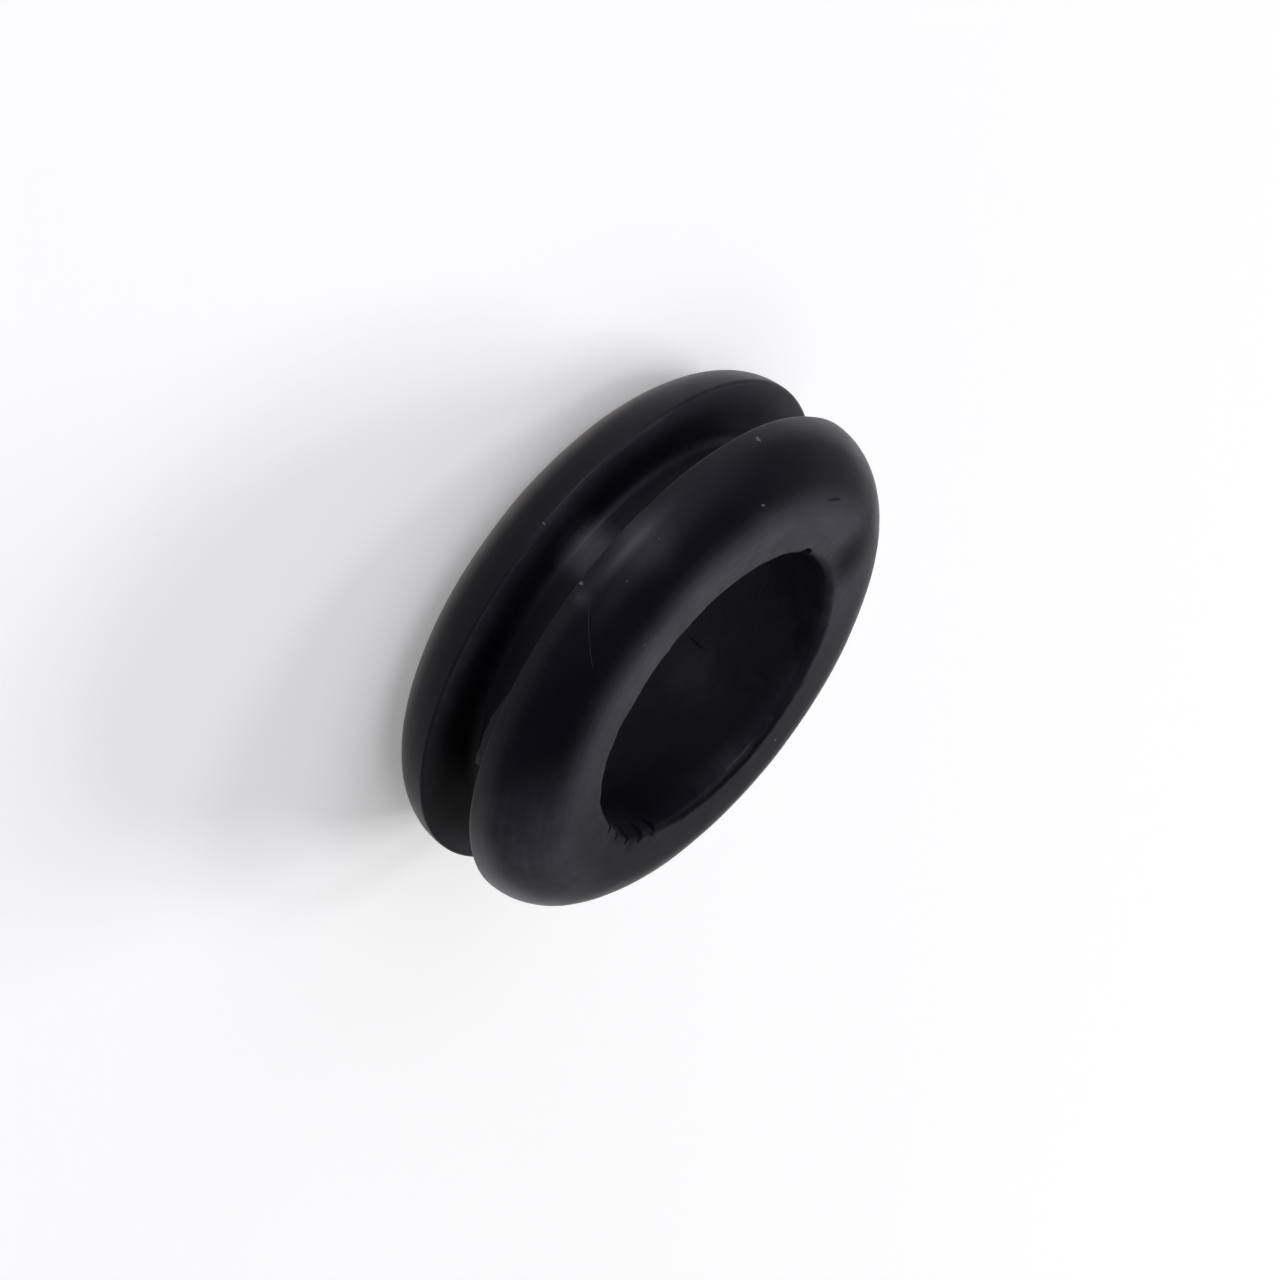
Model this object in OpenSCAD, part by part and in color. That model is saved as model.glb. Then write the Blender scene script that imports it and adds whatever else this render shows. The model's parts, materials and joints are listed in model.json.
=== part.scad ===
// Panel grommet: one moulded rubber ring with two round-shouldered flanges, a groove
// between them that snaps over the edge of a panel hole, and a plain round bore.
// It lies on its lower flange: Z = 0 is that flange's crest and +Z is the bore's axis.
// All sizes are in millimetres.

/* [Flanges] */
// Diameter across the flanges
outer_d = 21; // [20:0.5:28]
// Thickness of each flange, from the groove's wall to its flat crest
flange_t = 2.6; // [1.2:0.1:3.6]
// Width of the round shoulder, measured across the ring from the rim to the flat crest
shoulder_w = 3; // [1.5:0.1:3.5]
// Radius of the edge between each rim and the groove's wall
rim_r = 0.1; // [0.05:0.05:0.8]

/* [Groove] */
// Diameter of the groove's floor, which is the panel hole's diameter
groove_d = 16; // [13.5:0.5:19]
// Width of the groove, which is a little more than the panel's thickness
groove_w = 2.2; // [1:0.1:5]
// Radius where the groove's floor meets its walls
root_r = 0.4; // [0.1:0.05:0.9]

/* [Bore] */
// Diameter of the bore
bore_d = 12; // [6:0.5:12.5]
// Radius of the lip at each end of the bore
lip_r = 0.4; // [0.1:0.1:0.6]

/* [Hidden] */
$fn = 128;

outer_r = outer_d / 2;
groove_r = groove_d / 2;
bore_r = bore_d / 2;
groove_depth = outer_r - groove_r;
height = groove_w + 2 * flange_t;

// The shoulder is a quarter of an ellipse, a little wider than it is tall. It springs
// from the rim's edge and ends level at the crest, which runs on flat to the bore's lip.
shoulder_h = flange_t - rim_r;

// What rounding a square corner takes away, or what a fillet adds: the corner is at
// the origin, and the piece lies in the first quadrant, w wide and h tall
module corner(w, h) {
    difference() {
        square([w, h]);
        translate([w, h]) scale([w / h, 1]) circle(h);
    }
}

// Upper half of the section, from the middle of the groove to the crest
module half_blank() {
    difference() {
        translate([bore_r, 0]) square([outer_r - bore_r, height / 2]);
        translate([outer_r, height / 2]) mirror([0, 1]) mirror([1, 0]) corner(shoulder_w, shoulder_h);
        translate([bore_r, height / 2]) mirror([0, 1]) corner(lip_r, lip_r);
    }
}

// Upper half of the groove: a flat floor, a filleted root, a square wall and a rounded mouth
module half_groove() {
    difference() {
        translate([groove_r, 0]) square([groove_depth, groove_w / 2]);
        translate([groove_r, groove_w / 2]) mirror([0, 1]) corner(root_r, root_r);
    }
    translate([outer_r, groove_w / 2]) mirror([1, 0]) corner(rim_r, rim_r);
}

module half_section() {
    difference() {
        half_blank();
        half_groove();
    }
}

module grommet() {
    color("#1c1c1f")
    translate([0, 0, height / 2])
    rotate_extrude() {
        half_section();
        mirror([0, 1]) half_section();
    }
}

grommet();
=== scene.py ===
# %% [markdown]
# # A rubber grommet, dressed for the camera
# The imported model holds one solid, `grommet`: a moulded rubber ring 21 mm across with two rounded
# flanges, a groove between them for the edge of a panel, and a round bore for a cable. It lies on its
# lower flange at the origin. This script models the same ring by hand with the small faults that a
# moulded and trimmed part has, gives it its rubber, and sets it on a white floor.

# %% Load the frame
import json
import math

import bpy
from mathutils import Matrix, Vector

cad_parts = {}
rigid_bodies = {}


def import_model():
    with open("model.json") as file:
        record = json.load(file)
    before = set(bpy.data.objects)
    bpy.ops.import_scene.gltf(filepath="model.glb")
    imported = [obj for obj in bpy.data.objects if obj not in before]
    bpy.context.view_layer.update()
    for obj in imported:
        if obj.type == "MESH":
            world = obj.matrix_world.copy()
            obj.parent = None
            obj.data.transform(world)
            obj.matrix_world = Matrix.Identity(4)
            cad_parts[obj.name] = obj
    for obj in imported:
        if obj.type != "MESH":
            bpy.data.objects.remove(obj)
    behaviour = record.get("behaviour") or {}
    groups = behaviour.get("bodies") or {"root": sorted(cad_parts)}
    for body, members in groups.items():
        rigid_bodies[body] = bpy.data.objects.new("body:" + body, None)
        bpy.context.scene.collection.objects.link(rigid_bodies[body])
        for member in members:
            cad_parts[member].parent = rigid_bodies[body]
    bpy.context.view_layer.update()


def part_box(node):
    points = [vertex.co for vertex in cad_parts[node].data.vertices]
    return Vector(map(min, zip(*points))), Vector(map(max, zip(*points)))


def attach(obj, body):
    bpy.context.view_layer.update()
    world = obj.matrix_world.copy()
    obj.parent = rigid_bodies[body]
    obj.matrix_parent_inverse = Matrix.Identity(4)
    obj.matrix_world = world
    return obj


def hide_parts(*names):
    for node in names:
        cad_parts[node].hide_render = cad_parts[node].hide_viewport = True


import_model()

# %% [markdown]
# Sizes are the ones a maker would read off a drawing, in millimetres. Blender works in metres here, so
# one number turns them. The overall width and height are taken from the node's own box, so that the
# ring made below can't drift away from the solid that it stands for. Only the rims' edges are drawn
# softer than the solid's 0.1 mm, because the real edges look softer than that.

# %% The ring's sizes
MM = 0.001
node_low, node_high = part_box("grommet")
OUTER_R = node_high.x
HEIGHT = node_high.z
BORE_R = 6.0 * MM
GROOVE_R = 8.0 * MM
FLANGE_T = 2.6 * MM
RIM_R = 0.22 * MM
SHOULDER_H = FLANGE_T - RIM_R
SHOULDER_W = 3.0 * MM
ROOT_R = 0.4 * MM
LIP_R = 0.4 * MM
CRESTS = (0, HEIGHT)
WALLS = (FLANGE_T, HEIGHT - FLANGE_T)
print("outer radius %.2f mm, height %.2f mm" % (OUTER_R / MM, HEIGHT / MM))

# %% [markdown]
# Every operator acts on what is selected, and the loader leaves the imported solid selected. So each
# piece starts from a clean slate: nothing selected, then one primitive added in Object Mode, then Edit
# Mode. Vertices and edges are picked in code by where they are, as a box select would pick them.

# %% Helpers for working in Edit Mode
TOUCH = 0.002 * MM


def start_clean():
    if bpy.context.object and bpy.context.object.mode != "OBJECT":
        bpy.ops.object.mode_set(mode="OBJECT")
    bpy.ops.object.select_all(action="DESELECT")


def edit(piece):
    start_clean()
    bpy.context.view_layer.objects.active = piece
    piece.select_set(True)
    bpy.ops.object.mode_set(mode="EDIT")


def pick(piece, kind, test):
    """Selects the vertices or edges of a piece whose middle passes the test, and counts them."""
    bpy.ops.mesh.select_mode(type=kind)
    bpy.ops.mesh.select_all(action="DESELECT")
    bpy.ops.object.mode_set(mode="OBJECT")
    mesh = piece.data
    points = mesh.vertices
    if kind == "VERT":
        parts = [(v, v.co) for v in points]
    else:
        parts = [(e, (points[e.vertices[0]].co + points[e.vertices[1]].co) / 2) for e in mesh.edges]
    count = 0
    for part, middle in parts:
        part.select = bool(test(middle))
        count += part.select
    bpy.ops.object.mode_set(mode="EDIT")
    return count


def near(value, target):
    return abs(value - target) < TOUCH


print("places count as the same within %.3f mm" % (TOUCH / MM))

# %% [markdown]
# A ring like this is moulded, and its shape is one section turned about the bore's axis. So
# the section is drawn first, as half a slice through the ring: a flat sheet for the wall between bore
# and groove, cut across twice at the groove's walls, with the two flanges pulled out of it.

# %% Draw the section
UPRIGHT = (math.pi / 2, 0, 0)


def blade(name, width, height, middle):
    """An upright sheet in the X-Z plane, added at its height and place and then narrowed."""
    start_clean()
    bpy.ops.mesh.primitive_plane_add(size=height, location=middle, rotation=UPRIGHT)
    piece = bpy.context.object
    piece.name = name
    piece.data.name = name
    bpy.ops.object.transform_apply(location=True, rotation=True, scale=True)
    edit(piece)
    bpy.ops.mesh.select_all(action="SELECT")
    bpy.ops.transform.resize(value=(width / height, 1, 1), center_override=middle)
    return piece


wall_middle = ((GROOVE_R + BORE_R) / 2, 0, HEIGHT / 2)
ring = blade("rubber_ring", GROOVE_R - BORE_R, HEIGHT, wall_middle)
for wall_z in WALLS:
    bpy.ops.mesh.select_all(action="SELECT")
    bpy.ops.mesh.bisect(plane_co=(0, 0, wall_z), plane_no=(0, 0, 1))
for middle_z in (FLANGE_T / 2, HEIGHT - FLANGE_T / 2):
    found = pick(ring, "EDGE", lambda m: near(m.x, GROOVE_R) and near(m.z, middle_z))
    bpy.ops.mesh.extrude_region_move(TRANSFORM_OT_translate={"value": (OUTER_R - GROOVE_R, 0, 0)})
    print("flange pulled out of", found, "edge")

# %% [markdown]
# The section is now square at every corner. Its inner lines are dissolved to leave one outline, and
# each pair of corners is rounded to its own radius with a vertex bevel: the big shoulders of the
# flanges, the small edges of their rims, the fillets at the groove's root and the lips of the bore.

# %% Round the corners
bpy.ops.mesh.select_mode(type="EDGE")
bpy.ops.mesh.select_all(action="SELECT")
bpy.ops.mesh.dissolve_limited(angle_limit=0.01)


def round_off(name, at_r, at_z, radius, steps):
    found = pick(ring, "VERT", lambda v: near(v.x, at_r) and any(near(v.z, z) for z in at_z))
    bpy.ops.mesh.bevel(affect="VERTICES", offset=radius, segments=steps, profile=0.5, clamp_overlap=False)
    print("rounded", found, name, "to %.2f mm" % (radius / MM))


round_off("shoulders", at_r=OUTER_R, at_z=CRESTS, radius=SHOULDER_H, steps=28)
round_off("rims", at_r=OUTER_R, at_z=WALLS, radius=RIM_R, steps=6)
round_off("roots", at_r=GROOVE_R, at_z=WALLS, radius=ROOT_R, steps=7)
round_off("lips", at_r=BORE_R, at_z=CRESTS, radius=LIP_R, steps=9)
STRETCH = SHOULDER_W / SHOULDER_H
inner = OUTER_R - SHOULDER_H - TOUCH
for crest_z in CRESTS:
    found = pick(ring, "VERT", lambda v: v.x > inner and abs(v.z - crest_z) < SHOULDER_H - TOUCH)
    bpy.ops.transform.resize(value=(STRETCH, 1, 1), center_override=(OUTER_R, 0, crest_z))
    print("widened a shoulder of", found, "points by", round(STRETCH, 3))
bpy.ops.mesh.select_all(action="SELECT")
bpy.ops.mesh.remove_doubles(threshold=TOUCH)
bpy.ops.mesh.delete(type="ONLY_FACE")
bpy.ops.object.mode_set(mode="OBJECT")
print("section has", len(ring.data.vertices), "points")

# %% [markdown]
# Only the outline is left, and its long straight runs get a few more points so that later work has
# something to hold. Then the outline is spun once round the bore's axis. The last copy lands on the
# first one, so doubles are merged before the normals are recalculated, or the ring may turn inside out.

# %% Spin the section
SPIN_STEPS = 400
SHORT_RUN = 1.0 * MM
LONG_RUN = 3.0 * MM


def divide_runs(shortest, longest, cuts):
    """Cuts each line of the outline whose length lies between two limits."""
    edit(ring)
    bpy.ops.mesh.select_mode(type="EDGE")
    bpy.ops.mesh.select_all(action="DESELECT")
    bpy.ops.object.mode_set(mode="OBJECT")
    points = ring.data.vertices
    for line in ring.data.edges:
        length = (points[line.vertices[0]].co - points[line.vertices[1]].co).length
        line.select = shortest < length < longest
    bpy.ops.object.mode_set(mode="EDIT")
    bpy.ops.mesh.subdivide(number_cuts=cuts)


divide_runs(SHORT_RUN, LONG_RUN, cuts=5)
divide_runs(LONG_RUN, HEIGHT, cuts=15)
bpy.ops.mesh.select_all(action="SELECT")
WHOLE_TURN = 2 * math.pi
bpy.ops.mesh.spin(steps=SPIN_STEPS, angle=WHOLE_TURN, center=(0, 0, 0), axis=(0, 0, 1), use_auto_merge=False)
bpy.ops.mesh.select_all(action="SELECT")
bpy.ops.mesh.remove_doubles(threshold=TOUCH)
bpy.ops.mesh.normals_make_consistent(inside=False)
bpy.ops.object.mode_set(mode="OBJECT")
print("ring:", len(ring.data.vertices), "vertices", len(ring.data.polygons), "faces")

# %% [markdown]
# Soft rubber never comes out of its mould dead true. Two Displace modifiers give the skin a slow
# swell and the bore's lips a quicker waver. A Mid Level close to 1 makes them push almost only
# inwards, so the ring doesn't grow past its solid. The waver works through a vertex group that fades
# away from each lip.

# %% Swell the skin and waver the lips
def cloud(name, size, depth):
    texture = bpy.data.textures.new(name, "CLOUDS")
    texture.noise_scale = size
    texture.noise_depth = depth
    return texture


def displace(piece, texture, strength, middle, group=""):
    bend = piece.modifiers.new("waver", "DISPLACE")
    bend.texture = texture
    bend.texture_coords = "LOCAL"
    bend.strength = strength
    bend.mid_level = middle
    bend.vertex_group = group
    start_clean()
    bpy.context.view_layer.objects.active = piece
    piece.select_set(True)
    bpy.ops.object.modifier_apply(modifier=bend.name)


LIP_FADE = 0.8 * MM
lips = ring.vertex_groups.new(name="lips")
for v in ring.data.vertices:
    reach = Vector((math.hypot(v.co.x, v.co.y) - BORE_R, min(v.co.z, HEIGHT - v.co.z)))
    weight = 1 - min(1, max(0, reach.length - LIP_R) / LIP_FADE)
    if weight > 0:
        lips.add([v.index], weight, "REPLACE")
slow_swell = cloud("slow_swell", size=3.2 * MM, depth=1)
displace(ring, slow_swell, strength=0.05 * MM, middle=0.95)
lip_waver = cloud("lip_waver", size=0.9 * MM, depth=2)
displace(ring, lip_waver, strength=0.10 * MM, middle=0.85, group="lips")
print("size after the swell", [round(x / MM, 3) for x in ring.dimensions])

# %% [markdown]
# The bore's upper lip is ragged on two sides, as it would be where rubber was torn away from it. What
# tore it isn't known. Three shaken cones set off centre cut the lip's rounding back, and
# small flattened balls take a bite out of it for each tear. Thin flattened balls also make the nick in
# the shoulder and the slit down the bore's wall. All are joined and cut out at once with one Boolean.
# Azimuth is an angle round the ring in degrees, from the front, -Y, towards +X.

# %% Make the cutters
def direction(azimuth):
    a = math.radians(azimuth)
    return Vector((math.sin(a), -math.cos(a), 0))


cutters = []
CONE_Z = HEIGHT - 0.60 * MM
CONE_TALL = 1.40 * MM
CONE_FLARE = 0.34 * MM


def scoop(place, half_sizes, turn=(0, 0, 0)):
    start_clean()
    bpy.ops.mesh.primitive_ico_sphere_add(subdivisions=3, radius=1, location=place, rotation=turn)
    bpy.context.object.scale = half_sizes
    cutters.append(bpy.context.object)


def cut_back(azimuth, radius, offset, points, shake, seed):
    """An off-centre cone with shaken points takes the lip's rounding away and leaves a ragged edge."""
    middle = direction(azimuth) * offset + Vector((0, 0, CONE_Z))
    foot = radius - CONE_FLARE
    start_clean()
    bpy.ops.mesh.primitive_cone_add(
        vertices=points, radius1=foot, radius2=radius, depth=CONE_TALL, location=middle
    )
    cutters.append(bpy.context.object)
    edit(bpy.context.object)
    bpy.ops.mesh.select_all(action="SELECT")
    bpy.ops.transform.vertex_random(offset=shake, uniform=0.0, normal=0.0, seed=seed)
    bpy.ops.object.mode_set(mode="OBJECT")


cut_back(azimuth=107, radius=5.00 * MM, offset=1.16 * MM, points=72, shake=0.07 * MM, seed=5)
cut_back(azimuth=101, radius=2.40 * MM, offset=3.93 * MM, points=44, shake=0.06 * MM, seed=8)
cut_back(azimuth=-138, radius=3.00 * MM, offset=3.62 * MM, points=60, shake=0.04 * MM, seed=3)
print(len(cutters), "cones")

# %% [markdown]
# Every tear goes deepest down the bore's wall, so its walls fall into shadow. The five on one side are
# narrower round the ring than they reach into the crest, which makes a row of dark teeth. The three on
# the other side are wider than they reach. They differ in size and spacing, as torn rubber does.

# %% Tears
TEAR_R = 6.10 * MM
TEAR_Z = HEIGHT - 0.05 * MM
TEAR_DEPTH = 0.70 * MM


def tear(azimuth, half_width, reach):
    """A bite out of the upper lip. Its width runs round the ring and its reach into the crest."""
    place = direction(azimuth) * TEAR_R + Vector((0, 0, TEAR_Z))
    scoop(place, (half_width, reach, TEAR_DEPTH), (0, 0, math.radians(azimuth)))


tear(azimuth=84.5, half_width=0.14 * MM, reach=0.30 * MM)
tear(azimuth=93.0, half_width=0.12 * MM, reach=0.34 * MM)
tear(azimuth=101.5, half_width=0.20 * MM, reach=0.43 * MM)
tear(azimuth=110.5, half_width=0.18 * MM, reach=0.40 * MM)
tear(azimuth=118.5, half_width=0.20 * MM, reach=0.26 * MM)
tear(azimuth=-75.5, half_width=0.48 * MM, reach=0.32 * MM)
tear(azimuth=-61.0, half_width=0.30 * MM, reach=0.12 * MM)
tear(azimuth=-29.5, half_width=0.20 * MM, reach=0.14 * MM)
print(len(cutters), "cutters with the tears")

# %% [markdown]
# The shoulder has a small nick and the bore's wall a short slit. What made them isn't known. The nick
# is a ball flattened to a blade and turned a little off the ring's own direction, the slit a blade
# on end.

# %% A nick and a slit
NICK_AZIMUTH = -74
NICK_R_MM = 8.44
NICK_Z = 7.29 * MM
NICK_SIZE = (0.66 * MM, 0.070 * MM, 0.12 * MM)
NICK_TILT = 12
NICK_SKEW = 3
nick_at = direction(NICK_AZIMUTH) * NICK_R_MM * MM + Vector((0, 0, NICK_Z))
nick_turn = (math.radians(NICK_TILT), 0, math.radians(NICK_AZIMUTH + NICK_SKEW))
scoop(nick_at, NICK_SIZE, nick_turn)
SLIT_AZIMUTH = -169.5
SLIT_Z = 2.95 * MM
SLIT_SIZE = (0.045 * MM, 0.10 * MM, 0.42 * MM)
SLIT_LEAN = -5
slit_at = direction(SLIT_AZIMUTH) * BORE_R + Vector((0, 0, SLIT_Z))
slit_turn = (0, math.radians(SLIT_LEAN), math.radians(SLIT_AZIMUTH))
scoop(slit_at, SLIT_SIZE, slit_turn)
print(len(cutters), "cutters in all")

# %% [markdown]
# One Boolean is quicker and cleaner than one for each cutter, so they are joined to a single mesh. The
# balls and cones cross each other, which the Exact solver can handle when Self Intersection is on.

# %% Cut them out of the ring
start_clean()
for cutter in cutters:
    cutter.select_set(True)
bpy.context.view_layer.objects.active = cutters[0]
bpy.ops.object.join()
cutter = bpy.context.object
bpy.ops.object.transform_apply(location=True, rotation=True, scale=True)
edit(cutter)
bpy.ops.mesh.select_all(action="SELECT")
bpy.ops.mesh.normals_make_consistent(inside=False)
start_clean()
bpy.context.view_layer.objects.active = ring
ring.select_set(True)
cut = ring.modifiers.new("tears", "BOOLEAN")
cut.operation = "DIFFERENCE"
cut.solver = "EXACT"
cut.use_self = True
cut.object = cutter
bpy.ops.object.modifier_apply(modifier=cut.name)
bpy.data.objects.remove(cutter)
ring.vertex_groups.clear()
print("ring after the tears:", len(ring.data.vertices), "vertices", len(ring.data.polygons), "faces")

# %% [markdown]
# Where cutters cross, a Boolean can leave a crumb of rubber hanging in the air and faces with many
# corners that fold when they are split into triangles. The crumbs are whatever isn't linked to the
# widest point of the ring, and folded faces are avoided by joining concave corners across each face.

# %% Clear the crumbs
SMOOTH_BELOW = math.radians(42)
edit(ring)
pick(ring, "VERT", lambda v: v.x > OUTER_R - 0.1 * MM and abs(v.z) < FLANGE_T)
bpy.ops.mesh.select_linked()
bpy.ops.mesh.select_all(action="INVERT")
bpy.ops.mesh.delete(type="VERT")
bpy.ops.mesh.select_all(action="SELECT")
bpy.ops.mesh.dissolve_degenerate(threshold=TOUCH / 2)
bpy.ops.mesh.select_all(action="DESELECT")
bpy.ops.mesh.select_face_by_sides(number=4, type="GREATER")
bpy.ops.mesh.vert_connect_concave()
bpy.ops.mesh.select_face_by_sides(number=4, type="GREATER")
bpy.ops.mesh.quads_convert_to_tris(quad_method="BEAUTY", ngon_method="BEAUTY")
bpy.ops.object.mode_set(mode="OBJECT")
bpy.ops.object.shade_smooth_by_angle(angle=SMOOTH_BELOW)
print("ring without crumbs:", len(ring.data.vertices), "vertices", len(ring.data.polygons), "faces")

# %% [markdown]
# A thin fin of rubber stands off the front rim into the groove, as flash does where the halves of a
# mould don't quite close. Its section is a narrow blade, spun through a few degrees, and one end is
# squeezed to almost nothing so that it fades into the rim.

# %% Leave a fin on the front rim
FIN_FROM = 22
FIN_TO = 42
FIN_STEPS = 40
FIN_TALL = 0.34 * MM
FIN_THICK = 0.07 * MM
FIN_SUNK = 0.12 * MM
FIN_ROUND = 0.4 * FIN_THICK
FIN_R = OUTER_R - 0.12 * MM
ROOT_Z = HEIGHT - FLANGE_T + FIN_SUNK
fin = blade("rim_fin", FIN_THICK, FIN_TALL, (FIN_R, 0, ROOT_Z - FIN_TALL / 2))
bpy.ops.mesh.bevel(affect="VERTICES", offset=FIN_ROUND, segments=3)
bpy.ops.mesh.select_all(action="SELECT")
bpy.ops.transform.rotate(value=math.radians(90 - FIN_TO), orient_axis="Z", center_override=(0, 0, 0))
fin_sweep = math.radians(FIN_TO - FIN_FROM)
bpy.ops.mesh.spin(steps=FIN_STEPS, angle=fin_sweep, center=(0, 0, 0), axis=(0, 0, 1))
bpy.ops.mesh.select_all(action="SELECT")
bpy.ops.mesh.normals_make_consistent(inside=False)
print("fin swept through", FIN_TO - FIN_FROM, "degrees")

# %% [markdown]
# Each step of the sweep is a column of points, which is squeezed towards the root by its own amount:
# the height rises from almost nothing over a little less than half the sweep, then wavers a little.

# %% Squeeze the fin's columns
FIN_RISE = 2.2
FIN_LEVEL = 0.93
FIN_WAVER = 0.07
FIN_WAVES = 1.3
FIN_LOWEST = 0.02
FIN_PITCH = (FIN_TO - FIN_FROM) / FIN_STEPS


def azimuth_of(v):
    return math.degrees(math.atan2(v.x, -v.y))


for step in range(FIN_STEPS + 1):
    here = FIN_FROM + step * FIN_PITCH
    ragged = FIN_LEVEL + FIN_WAVER * math.sin(here * FIN_WAVES)
    tall = min(1, FIN_RISE * step / FIN_STEPS) * ragged
    squeeze = (1, 1, max(FIN_LOWEST, tall))
    pick(fin, "VERT", lambda v: abs(azimuth_of(v) - here) < FIN_PITCH / 2)
    bpy.ops.transform.resize(value=squeeze, center_override=(0, 0, ROOT_Z))
bpy.ops.object.mode_set(mode="OBJECT")
bpy.ops.object.shade_smooth()
print("fin spans", [round(x / MM, 2) for x in fin.dimensions])

# %% [markdown]
# Pale dust shows up on black rubber. Each speck is a small ball, roughened by moving
# its points at random and pressed flat against the skin. The nearest point on the ring's mesh says
# where it sits and which way it faces.

# %% Dust
def settle(azimuth, radius, height):
    """The nearest place on the ring's skin, with its normal."""
    near_by = direction(azimuth) * radius * MM + Vector((0, 0, height * MM))
    found, place, normal, face = ring.closest_point_on_mesh(near_by)
    return place, normal


specks = []
SPECK_SUNK = 0.3
SPECK_ROUGH = 0.45
SPECK_FLAT = 0.4


def speck(azimuth, radius, height, size):
    """A flattened, roughened ball sunk a little into the skin. Lengths are in millimetres."""
    place, normal = settle(azimuth, radius, height)
    place = place - normal * size * SPECK_SUNK * MM
    start_clean()
    bpy.ops.mesh.primitive_ico_sphere_add(subdivisions=2, radius=size * MM, location=place)
    ball = bpy.context.object
    edit(ball)
    bpy.ops.mesh.select_all(action="SELECT")
    shake = size * MM * SPECK_ROUGH
    bpy.ops.transform.vertex_random(offset=shake, uniform=0.4, normal=0.0, seed=len(specks))
    bpy.ops.transform.resize(value=(1, 1, SPECK_FLAT), center_override=place)
    bpy.ops.object.mode_set(mode="OBJECT")
    ball.rotation_euler = normal.to_track_quat("Z", "Y").to_euler()
    specks.append(ball)


speck(azimuth=-50.2, radius=10.45, height=5.35, size=0.160)
speck(azimuth=-43.6, radius=9.11, height=7.01, size=0.100)
speck(azimuth=-26.9, radius=7.35, height=7.40, size=0.120)
speck(azimuth=-1.5, radius=10.50, height=4.97, size=0.095)
speck(azimuth=0.9, radius=10.47, height=5.22, size=0.045)
speck(azimuth=179.5, radius=7.10, height=7.40, size=0.100)
speck(azimuth=0.8, radius=8.24, height=7.32, size=0.050)
speck(azimuth=-17.7, radius=10.20, height=5.98, size=0.045)
speck(azimuth=-7.2, radius=10.12, height=6.11, size=0.050)
speck(azimuth=-6.2, radius=10.50, height=2.43, size=0.075)
speck(azimuth=150.0, radius=8.10, height=7.30, size=0.040)
speck(azimuth=-118.0, radius=9.30, height=6.90, size=0.045)
speck(azimuth=120.0, radius=10.40, height=2.00, size=0.050)
speck(azimuth=-150.0, radius=10.40, height=5.60, size=0.045)
speck(azimuth=-95.0, radius=10.45, height=1.90, size=0.050)
print("specks settled:", len(specks))

# %% [markdown]
# The specks are joined to one piece, because none of them moves by itself.

# %% Join the specks
start_clean()
for ball in specks:
    ball.select_set(True)
bpy.context.view_layer.objects.active = specks[0]
bpy.ops.object.join()
dust = bpy.context.object
dust.name = "dust_specks"
dust.data.name = "dust_specks"
bpy.ops.object.transform_apply(location=True, rotation=True, scale=True)
bpy.ops.object.shade_smooth()
print("dust:", len(specks), "specks", len(dust.data.polygons), "faces")

# %% [markdown]
# One hair-thin fibre clings to the shoulder. It starts as a small six-sided face and is pulled out
# step by step along the skin, each step settling on the mesh again.

# %% A fibre
FIBRE_R = 0.014 * MM
FIBRE_STEPS = 14
FIBRE_START = 0.6
FIBRE_SWEEP = 10.6
FIBRE_BOW = 2.0
FIBRE_START_R = 10.37
FIBRE_INWARD = 0.87
FIBRE_START_Z = 5.61
FIBRE_CLIMB = 1.15
FIBRE_LIFT = 0.7
fibre_path = []
for step in range(FIBRE_STEPS + 1):
    t = step / FIBRE_STEPS
    azimuth = FIBRE_START + FIBRE_SWEEP * t - FIBRE_BOW * t * (1 - t)
    place, normal = settle(azimuth, FIBRE_START_R - FIBRE_INWARD * t * t, FIBRE_START_Z + FIBRE_CLIMB * t)
    fibre_path.append(place + normal * FIBRE_R * FIBRE_LIFT)
start_clean()
first_way = (fibre_path[1] - fibre_path[0]).normalized()
first_turn = first_way.to_track_quat("Z", "Y").to_euler()
bpy.ops.mesh.primitive_circle_add(
    vertices=6, radius=FIBRE_R, fill_type="NGON", location=fibre_path[0], rotation=first_turn
)
fibre = bpy.context.object
fibre.name = "fibre"
fibre.data.name = "fibre"
bpy.ops.object.transform_apply(location=True, rotation=True, scale=True)
edit(fibre)
bpy.ops.mesh.select_all(action="SELECT")
for before, after in zip(fibre_path, fibre_path[1:]):
    bpy.ops.mesh.extrude_region_move(TRANSFORM_OT_translate={"value": after - before})
bpy.ops.mesh.select_all(action="SELECT")
bpy.ops.mesh.normals_make_consistent(inside=False)
bpy.ops.object.mode_set(mode="OBJECT")
bpy.ops.object.shade_smooth()
print("fibre:", len(fibre.data.polygons), "faces")

# %% [markdown]
# Two small helpers build every material: one turns a colour as it is seen on a screen into the linear
# numbers that a shader takes, and one adds a node with its settings and its links. Below them are the
# words for the few kinds of node that come up again and again.

# %% Colours and nodes
def linear(hex_colour):
    parts = [int(hex_colour[i : i + 2], 16) / 255 for i in (1, 3, 5)]
    curve = [c / 12.92 if c <= 0.04045 else ((c + 0.055) / 1.055) ** 2.4 for c in parts]
    return (*curve, 1.0)


def new_material(name):
    material = bpy.data.materials.new(name)
    material.use_nodes = True
    material.node_tree.nodes.clear()
    return material


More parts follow.
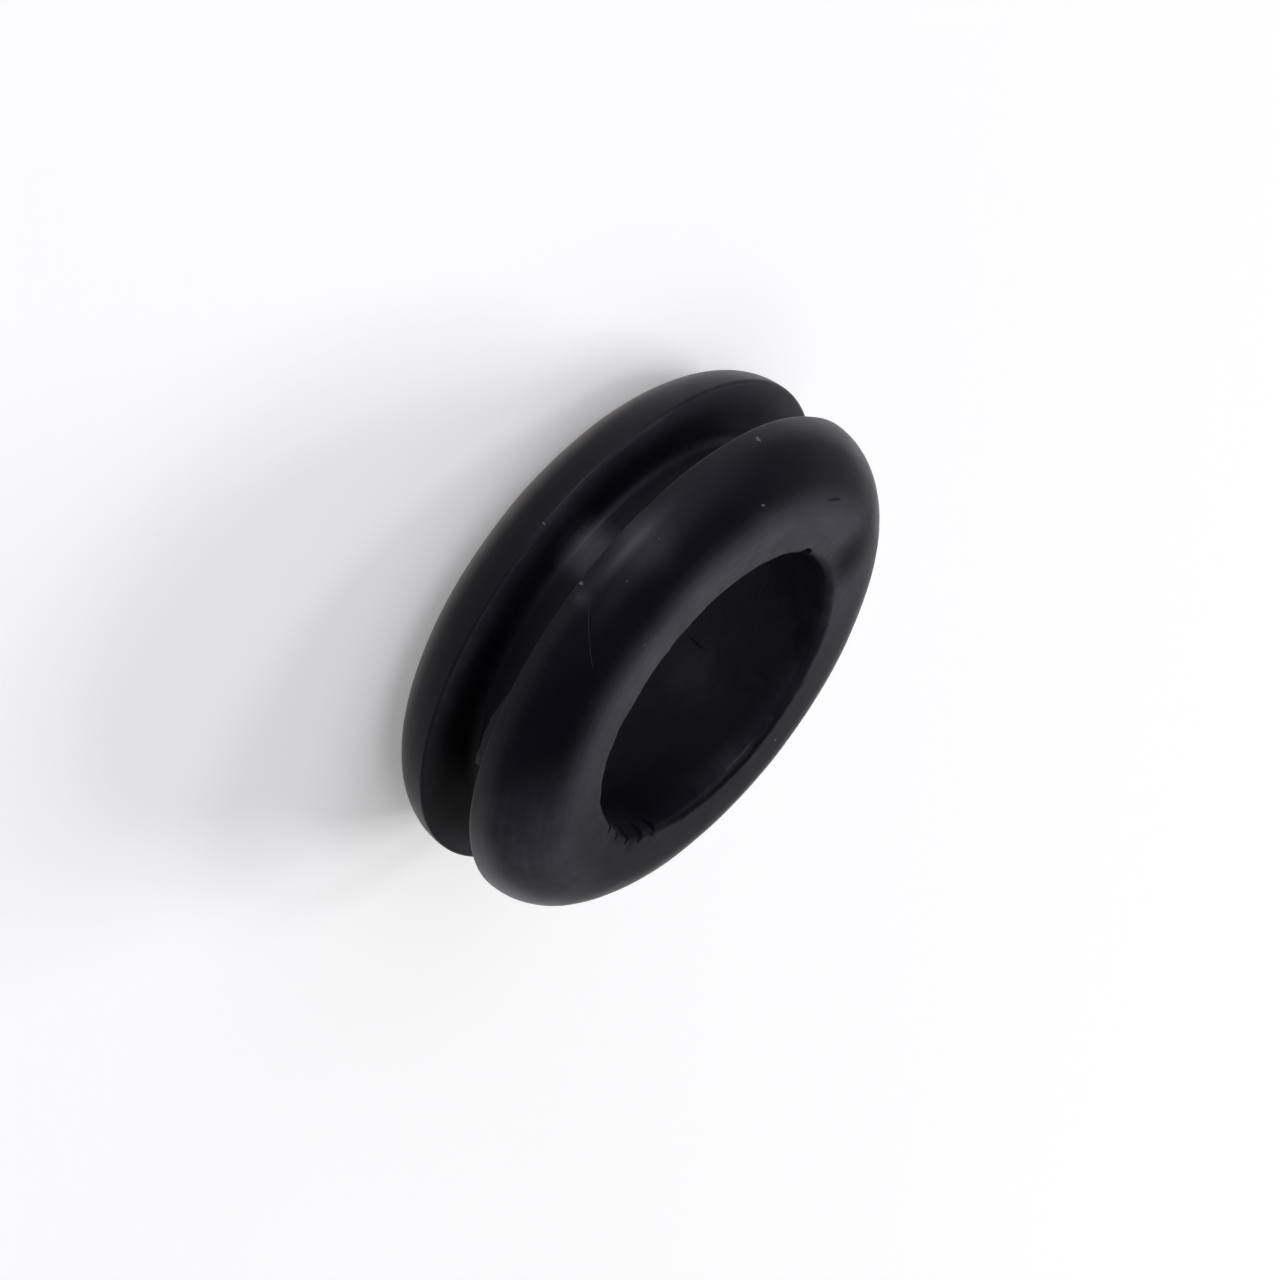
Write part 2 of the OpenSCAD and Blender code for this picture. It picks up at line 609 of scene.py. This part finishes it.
def node(tree, kind, settings=None, **inputs):
    """Adds a node. An input is named with _ for a space, or _0, _1 by number. It takes a value, a
    socket or another node, whose first live output is then linked."""
    made = tree.nodes.new(kind)
    for key, value in (settings or {}).items():
        setattr(made, key, value)
    for key, value in inputs.items():
        socket = made.inputs[int(key[1:])] if key[0] == "_" else made.inputs[key.replace("_", " ")]
        if isinstance(value, bpy.types.Node):
            value = next(output for output in value.outputs if output.enabled)
        if isinstance(value, bpy.types.NodeSocket):
            tree.links.new(value, socket)
        else:
            socket.default_value = value
    return made


MATH = "ShaderNodeMath"
VECTOR = "ShaderNodeVectorMath"
RANGE = "ShaderNodeMapRange"
NOISE = "ShaderNodeTexNoise"
BUMP = "ShaderNodeBump"
PRINCIPLED = "ShaderNodeBsdfPrincipled"
OUTPUT = "ShaderNodeOutputMaterial"
MIX = "ShaderNodeMix"
COLOURS = {"data_type": "RGBA"}
TIMES = {"operation": "MULTIPLY"}
PLUS = {"operation": "ADD"}
MINUS = {"operation": "SUBTRACT"}
TIMES_PLUS = {"operation": "MULTIPLY_ADD"}
SMOOTH = {"interpolation_type": "SMOOTHSTEP"}
print("mid grey on a screen is %.3f in linear light" % linear("#808080")[0])

# %% [markdown]
# The rubber is nearly black with a violet cast, because carbon black hides almost all light. What the
# eye sees is its skin: a soft broad gloss, and over it a grey film. Rubber sweats wax to its surface
# as it ages, which is called bloom, and handling can rub it about in smoky drifts. So the base colour
# goes from black to grey by a mask of drifts, mostly on the crest. The same grey paints a sheen on the
# upper shoulder, highlights on the groove's floor and the front rim, a sheen at the back of the bore,
# and light in the groove and on one side of the bore.

# %% Rubber: where things are
rubber = new_material("moulded_rubber")
tree = rubber.node_tree
coordinates = node(tree, "ShaderNodeTexCoord").outputs["Object"]
place = node(tree, "ShaderNodeMapping", Vector=coordinates, Scale=(1 / MM, 1 / MM, 1 / MM))
axes = node(tree, "ShaderNodeSeparateXYZ", Vector=place)
height_mm = axes.outputs["Z"]
flat = node(tree, "ShaderNodeCombineXYZ", X=axes.outputs["X"], Y=axes.outputs["Y"])
radius_mm = node(tree, VECTOR, {"operation": "LENGTH"}, _0=flat)
around = node(tree, VECTOR, {"operation": "NORMALIZE"}, _0=flat)
print("rubber starts with", len(tree.nodes), "nodes")

# %% [markdown]
# Three noises work together. The drifts are millimetres wide. The streaks run round the ring, as the
# marks of a turned mould would: their pattern changes slowly with direction round the axis and fast
# with radius and height, which a four-dimensional noise can do without a seam. The grain stands for the
# fine texture a mould leaves. Its real width isn't known, so it is drawn 0.09 mm from grain to grain,
# two to three pixels in the render and about as fine as that can show.

# %% Rubber: its noises
DRIFTS_PER_MM = 0.42
STREAKS_ROUND = 3.0
STREAKS_PER_MM = 5.0
GRAINS_PER_MM = 11.0
drifts = node(
    tree, NOISE, Vector=place, Scale=DRIFTS_PER_MM, Detail=5.0, Roughness=0.62, Distortion=0.7
)
round_slow = node(tree, VECTOR, {"operation": "SCALE"}, _0=around, Scale=STREAKS_ROUND)
round_axes = node(tree, "ShaderNodeSeparateXYZ", Vector=round_slow)
radius_fast = node(tree, MATH, TIMES, _0=radius_mm, _1=STREAKS_PER_MM)
height_fast = node(tree, MATH, TIMES, _0=height_mm, _1=STREAKS_PER_MM)
round_x = round_axes.outputs["X"]
round_y = round_axes.outputs["Y"]
streak_place = node(tree, "ShaderNodeCombineXYZ", X=round_x, Y=round_y, Z=radius_fast)
FOUR_WAYS = {"noise_dimensions": "4D"}
streaks = node(
    tree, NOISE, FOUR_WAYS, Vector=streak_place, W=height_fast, Scale=1.0, Detail=1.5, Roughness=0.5
)
grain = node(tree, NOISE, Vector=place, Scale=GRAINS_PER_MM, Detail=3.0, Roughness=0.55)
smoky = node(tree, RANGE, SMOOTH, _0=drifts, _1=0.36, _2=0.68, _3=0.75, _4=1.25)
streaky = node(tree, RANGE, SMOOTH, _0=streaks, _1=0.30, _2=0.72, _3=0.86, _4=1.14)
print("a drift is %.1f mm wide and a streak %.1f mm" % (1 / DRIFTS_PER_MM, 1 / STREAKS_PER_MM))

# %% [markdown]
# A mask is a number from 0 to 1 over the skin that says where the film or a painted light lies. Two
# kinds are needed more than once: a round patch about a point of the ring, and one side of the ring
# fading into the other. Map Range nodes make the rest from radius and height alone, since each part of
# the section, such as the crest or a groove wall, is told by those two.

# %% Rubber: masks by place
OUTER_MM = OUTER_R / MM
BORE_MM = BORE_R / MM
GROOVE_MM = GROOVE_R / MM
CREST_MM = HEIGHT / MM
LOWER_WALL_MM = FLANGE_T / MM
UPPER_WALL_MM = (HEIGHT - FLANGE_T) / MM
WALL_FADE = 0.15


def patch(azimuth, radius, height, reach):
    """1 at a place on the ring, fading to 0 at reach. Lengths are in millimetres."""
    centre = direction(azimuth) * radius + Vector((0, 0, height))
    gap = node(tree, VECTOR, {"operation": "DISTANCE"}, _0=place, _1=centre)
    return node(tree, RANGE, SMOOTH, _0=gap, _1=reach, _2=0.0)


def facing(azimuth):
    """1 on the side of the ring at an azimuth, 0 on the far side."""
    toward = node(tree, VECTOR, {"operation": "DOT_PRODUCT"}, _0=around, _1=direction(azimuth))
    return node(tree, RANGE, SMOOTH, _0=toward, _1=-1.0, _2=1.0)


# Painted sheen: the upper shoulder is greyed, most strongly on one side.
shoulder_out = node(tree, RANGE, SMOOTH, _0=radius_mm, _1=7.2, _2=8.6)
shoulder_up = node(tree, RANGE, SMOOTH, _0=height_mm, _1=UPPER_WALL_MM - 0.1, _2=UPPER_WALL_MM + 0.8)
shoulder = node(tree, MATH, TIMES, _0=shoulder_out, _1=shoulder_up)
sheen_side = patch(azimuth=74, radius=9.3, height=6.9, reach=7.0)
shoulder_sheen = node(tree, MATH, TIMES, _0=shoulder, _1=sheen_side)

smudge = patch(azimuth=-106, radius=7.2, height=7.4, reach=2.1)
rubbed = node(tree, MATH, MINUS, _0=1.0, _1=smudge)
crest_in = node(tree, RANGE, SMOOTH, _0=radius_mm, _1=9.2, _2=7.3)
crest_up = node(tree, RANGE, SMOOTH, _0=height_mm, _1=CREST_MM - 0.7, _2=CREST_MM - 0.1)
crest = node(tree, MATH, TIMES, _0=crest_in, _1=crest_up)
crest = node(tree, MATH, TIMES, _0=crest, _1=facing(-50))
crest_bloom = node(tree, MATH, TIMES, _0=crest, _1=rubbed)
print("masks for the shoulder and the crest, less a smudge on the crest")

# %% [markdown]
# Inside the groove a faint grey is painted light: it grows towards the outer edge of the walls, so the
# groove looks darker the deeper it goes. One side of the bore gets painted light of its own. Round
# patches add a painted highlight on the groove's floor, a painted sheen at the back of the bore, a
# little film at one spot on the front rim and a painted highlight at another.

# %% Rubber: film in the groove and the bore
above_lower = node(
    tree, RANGE, SMOOTH, _0=height_mm, _1=LOWER_WALL_MM - WALL_FADE, _2=LOWER_WALL_MM
)
below_upper = node(
    tree, RANGE, SMOOTH, _0=height_mm, _1=UPPER_WALL_MM + WALL_FADE, _2=UPPER_WALL_MM
)
groove = node(tree, MATH, TIMES, _0=above_lower, _1=below_upper)
# Painted light: the groove's walls get lighter towards their outer edge and stay dark deep inside.
wall_painted_light = node(
    tree, RANGE, SMOOTH, _0=radius_mm, _1=GROOVE_MM + 0.1, _2=GROOVE_MM + 0.6, _3=0.01, _4=0.07
)
edge_painted_light = node(tree, RANGE, SMOOTH, _0=radius_mm, _1=OUTER_MM - 1.5, _2=OUTER_MM, _3=0.0, _4=0.28)
groove_light_ramp = node(tree, MATH, PLUS, _0=wall_painted_light, _1=edge_painted_light)
groove_painted_light = node(tree, MATH, TIMES, _0=groove_light_ramp, _1=groove)
# Painted highlight: a grey spot on the groove's floor.
hub_highlight_spot = patch(azimuth=-10, radius=8.0, height=3.25, reach=1.5)
hub_highlight = node(tree, MATH, TIMES, _0=hub_highlight_spot, _1=groove)

# Painted sheen: a grey patch on the back wall of the bore.
bore_sheen_spot = patch(azimuth=-178, radius=6.0, height=3.4, reach=1.7)
above_floor = node(tree, RANGE, SMOOTH, _0=height_mm, _1=0.5, _2=1.5)
bore_sheen = node(tree, MATH, TIMES, _0=bore_sheen_spot, _1=above_floor)
bore_skin = node(tree, RANGE, SMOOTH, _0=radius_mm, _1=BORE_MM + 0.3, _2=BORE_MM + 0.1)
below_lip = node(tree, RANGE, SMOOTH, _0=height_mm, _1=CREST_MM - 0.2, _2=CREST_MM - 0.5)
bore = node(tree, MATH, TIMES, _0=bore_skin, _1=below_lip)
# Painted light: the bore's wall is greyed on the side that gets the least light.
bore_painted_light = node(tree, MATH, TIMES, _0=bore, _1=facing(-105))
star_bloom = patch(azimuth=0.7, radius=10.45, height=5.35, reach=0.5)
# Painted highlight: a grey patch on the front rim.
rim_highlight = patch(azimuth=-15, radius=10.30, height=5.7, reach=1.7)
print("masks for the groove, the bore and the front rim")

# %% [markdown]
# Each mask now gets the strength of its film or painted light and all are added up. In the sum the
# streaks mark only the shoulder and the crest, which stand out; the crest can be rubbed. The drifts go
# over everything.

# %% Rubber: all the bloom together
SHEEN_ON_SHOULDER = 0.40
ON_CREST = 0.35
LIGHT_IN_GROOVE = 0.90
HUB_HIGHLIGHT = 0.60
SHEEN_AT_BACK_OF_BORE = 0.15
LIGHT_ROUND_BORE = 0.17
AT_STAR = 0.13
RIM_HIGHLIGHT = 0.15
EVERYWHERE = 0.01
# The sum holds real bloom and also painted sheen, painted highlights and painted light.
bloom_and_painted_light = node(tree, MATH, TIMES, _0=shoulder_sheen, _1=SHEEN_ON_SHOULDER)
bloom_and_painted_light = node(tree, MATH, TIMES_PLUS, _0=crest_bloom, _1=ON_CREST, _2=bloom_and_painted_light)
bloom_and_painted_light = node(tree, MATH, TIMES, _0=bloom_and_painted_light, _1=streaky)
bloom_and_painted_light = node(tree, MATH, TIMES_PLUS, _0=groove_painted_light, _1=LIGHT_IN_GROOVE, _2=bloom_and_painted_light)
bloom_and_painted_light = node(tree, MATH, TIMES_PLUS, _0=hub_highlight, _1=HUB_HIGHLIGHT, _2=bloom_and_painted_light)
bloom_and_painted_light = node(tree, MATH, TIMES_PLUS, _0=bore_sheen, _1=SHEEN_AT_BACK_OF_BORE, _2=bloom_and_painted_light)
bloom_and_painted_light = node(tree, MATH, TIMES_PLUS, _0=bore_painted_light, _1=LIGHT_ROUND_BORE, _2=bloom_and_painted_light)
bloom_and_painted_light = node(tree, MATH, TIMES_PLUS, _0=star_bloom, _1=AT_STAR, _2=bloom_and_painted_light)
bloom_and_painted_light = node(tree, MATH, TIMES_PLUS, _0=rim_highlight, _1=RIM_HIGHLIGHT, _2=bloom_and_painted_light)
bloom_and_painted_light = node(tree, MATH, PLUS, _0=bloom_and_painted_light, _1=EVERYWHERE)
bloom_and_painted_light = node(tree, MATH, TIMES, _0=bloom_and_painted_light, _1=smoky)
print("bloom is", len(tree.nodes), "nodes so far")

# %% [markdown]
# Round its foot the ring carries a painted reflection of the lit floor, a warmer grey than the bloom
# and in the same drifts and streaks. It lies only on the lowest 1.5 mm and fades towards the back.

# %% Rubber: colour
rubber_black = linear("#0d0b11")
# This grey is the bloom's colour and also the colour of the painted sheen, highlights and light.
film_and_painted_light_grey = linear("#64626b")
# This warm grey paints the floor's reflection round the foot.
floor_reflection_grey = linear("#7c7871")
FOOT_MM = 1.5
foot_low = node(tree, RANGE, SMOOTH, _0=height_mm, _1=FOOT_MM, _2=FOOT_MM / 10)
foot_out = node(tree, RANGE, SMOOTH, _0=radius_mm, _1=7.6, _2=8.8)
foot = node(tree, MATH, TIMES, _0=foot_low, _1=foot_out)
foot = node(tree, MATH, TIMES, _0=foot, _1=facing(5))
foot = node(tree, MATH, TIMES, _0=foot, _1=smoky)
foot_reflection = node(tree, MATH, TIMES, _0=foot, _1=streaky)
colour = node(tree, MIX, COLOURS, _0=bloom_and_painted_light, _6=rubber_black, _7=film_and_painted_light_grey)
colour = node(tree, MIX, COLOURS, _0=foot_reflection, _6=colour, _7=floor_reflection_grey)
print("black in linear light:", [round(c, 4) for c in rubber_black[:3]])

# %% [markdown]
# The gloss is weak, since rubber bends light little and its skin is micro-rough. Roughness rises with
# the drifts and streaks, in the groove, where the crest is smudged, and on the torn lip, whose raw
# rubber was never pressed against a mould. The bump adds the grain and the streaks, in metres
# of height, so both stay far finer than the modelled shape.

# %% Rubber: shader
GRAIN_HEIGHT = 0.0035 * MM
STREAK_HEIGHT = 0.008 * MM
SKIN_ROUGH = 0.27
DRIFTS_ADD = 0.16
STREAKS_ADD = 0.06
GROOVE_ADDS = 0.07
SMUDGE_ADDS = 0.16
RAW_LIP_ADDS = 0.40
torn_side = patch(azimuth=104, radius=6.2, height=7.2, reach=2.2)
under_crest = node(tree, RANGE, SMOOTH, _0=height_mm, _1=CREST_MM - 0.02, _2=CREST_MM - 0.10)
raw_lip = node(tree, MATH, TIMES, _0=torn_side, _1=under_crest)
roughness = node(tree, MATH, TIMES_PLUS, _0=drifts, _1=DRIFTS_ADD, _2=SKIN_ROUGH)
roughness = node(tree, MATH, TIMES_PLUS, _0=streaks, _1=STREAKS_ADD, _2=roughness)
roughness = node(tree, MATH, TIMES_PLUS, _0=groove, _1=GROOVE_ADDS, _2=roughness)
roughness = node(tree, MATH, TIMES_PLUS, _0=smudge, _1=SMUDGE_ADDS, _2=roughness)
roughness = node(tree, MATH, TIMES_PLUS, _0=raw_lip, _1=RAW_LIP_ADDS, _2=roughness)
relief = node(tree, BUMP, Strength=1.0, Distance=GRAIN_HEIGHT, Height=grain)
relief = node(tree, BUMP, Strength=1.0, Distance=STREAK_HEIGHT, Height=streaks, Normal=relief)
skin = node(
    tree, PRINCIPLED, Base_Color=colour, Roughness=roughness, IOR=1.5, Specular_IOR_Level=0.15, Normal=relief
)
node(tree, OUTPUT, Surface=skin)
ring.data.materials.append(rubber)
print("rubber:", len(tree.nodes), "nodes")

# %% [markdown]
# The fin is drawn as the same moulded rubber without its bloom: even black, a little duller, with the
# same fine grain.

# %% Bare rubber
bare = new_material("bare_rubber")
coordinates = node(bare.node_tree, "ShaderNodeTexCoord").outputs["Object"]
fin_grain = node(bare.node_tree, NOISE, Vector=coordinates, Scale=GRAINS_PER_MM / MM, Detail=3.0)
fin_relief = node(bare.node_tree, BUMP, Strength=1.0, Distance=GRAIN_HEIGHT, Height=fin_grain)
bare_skin = node(
    bare.node_tree,
    PRINCIPLED,
    Base_Color=rubber_black,
    Roughness=0.42,
    IOR=1.5,
    Specular_IOR_Level=0.15,
    Normal=fin_relief,
)
node(bare.node_tree, OUTPUT, Surface=bare_skin)
fin.data.materials.append(bare)
print("bare rubber:", len(bare.node_tree.nodes), "nodes")

# %% [markdown]
# The dust is pale, matt and a little mottled, with clumps drawn about 0.06 mm wide. The fibre is
# duller, because light passes round a thing so thin to the black behind it.

# %% Dust and fibre materials
def mottled(name, dark, light, clumps_per_mm, roughness, gloss):
    """A plain material whose colour wanders between two shades."""
    material = new_material(name)
    tree = material.node_tree
    coordinates = node(tree, "ShaderNodeTexCoord").outputs["Object"]
    clumps = node(tree, NOISE, Vector=coordinates, Scale=clumps_per_mm / MM, Detail=2.0)
    shade = node(tree, MIX, COLOURS, _0=clumps, _6=linear(dark), _7=linear(light))
    shader = node(tree, PRINCIPLED, Base_Color=shade, Roughness=roughness, Specular_IOR_Level=gloss)
    node(tree, OUTPUT, Surface=shader)
    return material


pale_dust = mottled("pale_dust", "#47474a", "#6c6c70", clumps_per_mm=16, roughness=0.9, gloss=0.2)
dust.data.materials.append(pale_dust)
grey_fibre = mottled("grey_fibre", "#1c1d20", "#2e3032", clumps_per_mm=3, roughness=0.7, gloss=0.3)
fibre.data.materials.append(grey_fibre)
print("materials:", [m.name for m in (rubber, bare, pale_dust, grey_fibre)])

# %% [markdown]
# The frame is told where each piece belongs. All four ride on the one body, since nothing on a grommet
# moves. The ring stands in for the imported solid, which is then not drawn.

# %% Say what each piece is
for piece in (ring, fin, dust, fibre):
    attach(piece, "root")
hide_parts("grommet")
print("pieces:", [piece.name for piece in (ring, fin, dust, fibre)])

# %% [markdown]
# The floor is plain white card. It takes the ring's soft shadow as a diffuse surface, and the rest of
# its white comes from a faint glow that only the camera, glossy and see-through rays meet, so it puts
# no light on the rubber's own colour.

# %% Floor
FLOOR_R = 1.4
FLOOR_GLOW = 0.27
start_clean()
bpy.ops.mesh.primitive_circle_add(vertices=96, radius=FLOOR_R, fill_type="NGON", location=(0, 0, 0))
floor = bpy.context.object
floor.name = "white_floor"
card = new_material("white_card")
tree = card.node_tree
rays = node(tree, "ShaderNodeLightPath").outputs
LARGER = {"operation": "MAXIMUM"}
seen = node(tree, MATH, LARGER, _0=rays["Is Camera Ray"], _1=rays["Is Glossy Ray"])
seen = node(tree, MATH, LARGER, _0=seen, _1=rays["Is Transmission Ray"])
strength = node(tree, MATH, TIMES, _0=seen, _1=FLOOR_GLOW)
glow = node(tree, "ShaderNodeEmission", Color=(1, 1, 1, 1), Strength=strength)
matt = node(tree, "ShaderNodeBsdfDiffuse", Color=linear("#f3f3f3"))
both = node(tree, "ShaderNodeAddShader", _0=matt, _1=glow)
node(tree, OUTPUT, Surface=both)
floor.data.materials.append(card)
print("floor is", 2 * FLOOR_R, "m across")

# %% [markdown]
# A black glossy thing is lit by what it mirrors, so the room round it matters more than the lamps'
# strength. The world is dim overhead and on one side, which leaves the shoulders dark, and brighter
# behind and to the left. Its shader reads the direction it is looked at in, as height and bearing.

# %% The room
SIDE_LIGHT = 0.27
ALL_ROUND = 0.05
DIM_SIDE = 40
DIM_FROM = 0.50
DARK_AT = 0.96
world = bpy.data.worlds.new("studio")
bpy.context.scene.world = world
world.use_nodes = True
sky = world.node_tree
sky.nodes.clear()
look = node(sky, "ShaderNodeTexCoord").outputs["Generated"]
look_up = node(sky, "ShaderNodeSeparateXYZ", Vector=look).outputs["Z"]
level = node(sky, RANGE, SMOOTH, _0=look_up, _1=DIM_FROM, _2=DARK_AT, _3=1.0, _4=0.0)
toward = node(sky, VECTOR, {"operation": "DOT_PRODUCT"}, _0=look, _1=direction(DIM_SIDE))
side = node(sky, RANGE, _0=toward, _1=1.0, _2=-1.0, _3=0.0, _4=SIDE_LIGHT)
room = node(sky, MATH, PLUS, _0=side, _1=ALL_ROUND)
room = node(sky, MATH, TIMES, _0=room, _1=level)
backdrop = node(sky, "ShaderNodeBackground", Color=(1, 1, 1, 1), Strength=room)
node(sky, "ShaderNodeOutputWorld", Surface=backdrop)
print("room light from", ALL_ROUND, "to", ALL_ROUND + SIDE_LIGHT)

# %% [markdown]
# The front panel draws the bright patch on the rim and in the groove. The left and high panels soften
# its edges, and the back panel is what the crest mirrors. Three round lamps behind the ring throw its
# long pale shadow: a broad one for the soft edge, a small one for the dark core near the ring and a
# high one for the side. They and the ceiling fill are hidden from glossy rays, so they light the
# floor and the bloom but leave no shape in the rubber.

# %% Lamps
CENTRE = Vector((0, 0, HEIGHT / 2))
COOL = (0.90, 0.87, 1.0)
WHITE = (1.0, 1.0, 1.0)
PANEL_AWAY = 0.6


def lamp(name, azimuth, elevation, distance, width, height, watts, colour=WHITE, mirrored=False):
    e = math.radians(elevation)
    away = direction(azimuth) * math.cos(e) + Vector((0, 0, math.sin(e)))
    data = bpy.data.lights.new(name, "AREA")
    data.shape = "RECTANGLE" if mirrored else "ELLIPSE"
    data.size = width
    data.size_y = height
    data.energy = watts
    data.color = colour
    light = bpy.data.objects.new(name, data)
    bpy.context.scene.collection.objects.link(light)
    light.location = CENTRE + away * distance
    light.rotation_euler = (-away).to_track_quat("-Z", "Y").to_euler()
    light.visible_glossy = mirrored


def panel(name, azimuth, elevation, width, height, watts):
    """A cool lamp near the ring that the rubber mirrors."""
    lamp(name, azimuth, elevation, PANEL_AWAY, width, height, watts, COOL, mirrored=True)


def disc(name, azimuth, elevation, distance, across, watts):
    """A round white lamp that only the floor and the matt film answer to."""
    lamp(name, azimuth, elevation, distance, across, across, watts)


panel("front_panel", azimuth=-26, elevation=3.5, width=0.22, height=0.055, watts=1.15)
panel("left_panel", azimuth=-60, elevation=17, width=0.50, height=0.36, watts=0.44)
panel("high_panel", azimuth=-30, elevation=42, width=0.50, height=0.30, watts=0.56)
panel("back_panel", azimuth=-172, elevation=37, width=0.30, height=0.30, watts=0.13)
disc("shadow_lamp", azimuth=-155, elevation=15, distance=1.4, across=0.44, watts=13.4)
disc("shadow_core", azimuth=-165, elevation=18, distance=1.4, across=0.15, watts=3.9)
disc("shadow_side", azimuth=-130, elevation=36, distance=1.4, across=0.30, watts=2.6)
disc("ceiling_fill", azimuth=0, elevation=89, distance=0.9, across=1.2, watts=2.6)

# %% [markdown]
# The camera looks down past the ring from the front, rolled far over to one side so that the ring
# seems to stand on its rim. A long lens keeps the near and far sides nearly the same size.

# %% Camera
CAMERA_AT = Vector((0, -158.490 * MM, 71.279 * MM))
CAMERA_RIGHT = Vector((-0.601468, 0.314268, 0.734487))
CAMERA_UP = Vector((-0.798897, -0.236042, -0.553216))
LENS_MM = 132.59
SENSOR_MM = 36
camera_data = bpy.data.cameras.new("camera")
camera_data.lens = LENS_MM
camera_data.sensor_width = SENSOR_MM
camera_data.clip_start = 0.01
camera_data.clip_end = 10
camera = bpy.data.objects.new("camera", camera_data)
bpy.context.scene.collection.objects.link(camera)
right = CAMERA_RIGHT.normalized()
back = right.cross(CAMERA_UP).normalized()
up = back.cross(right)
turn = Matrix((right, up, back)).transposed()
camera.matrix_world = Matrix.Translation(CAMERA_AT) @ turn.to_4x4()
bpy.context.scene.camera = camera
bpy.context.scene.view_settings.view_transform = "Standard"
print("camera is %.0f mm from the origin" % (CAMERA_AT.length / MM))
